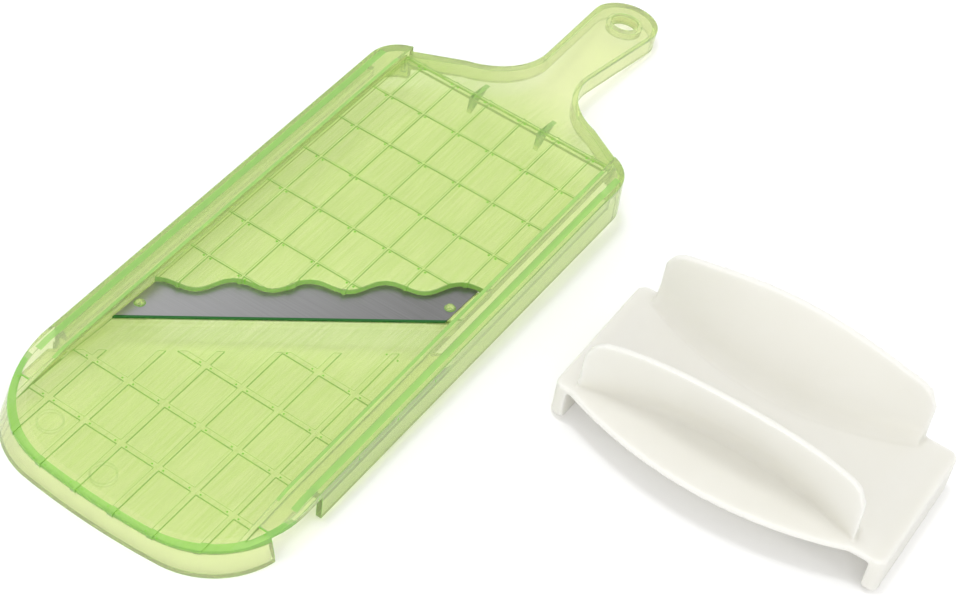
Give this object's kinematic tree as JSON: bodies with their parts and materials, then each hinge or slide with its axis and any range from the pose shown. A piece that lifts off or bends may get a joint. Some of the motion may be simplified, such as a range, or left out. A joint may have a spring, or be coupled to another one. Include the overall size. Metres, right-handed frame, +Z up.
{
  "type": "mandoline slicer",
  "caption": "Hand mandoline slicer with a translucent green deck, a slanted steel blade, a hanging handle and a separate white food holder.",
  "frame": {"origin": "centre of the bottom of the whole set's box, on the table", "axes": "+X from the slicer towards the holder, +Y along the slicer towards its handle, +Z up"},
  "size_m": [0.2821, 0.3565, 0.0489],
  "materials": {
    "green_plastic": "gloss",
    "blade_steel": "satin",
    "milky_plastic": "satin"
  },
  "bodies": {
    "slicer": {"slicer_body": "green_plastic", "blade": "blade_steel", "blade_pins": "green_plastic"},
    "holder": {"holder": "milky_plastic"}
  },
  "joints": [
    {"name": "holder_stroke", "type": "slide", "parent": "slicer", "child": "holder", "axis": [0, 1, 0], "range_m": [-0.137, 0.04]}
  ]
}
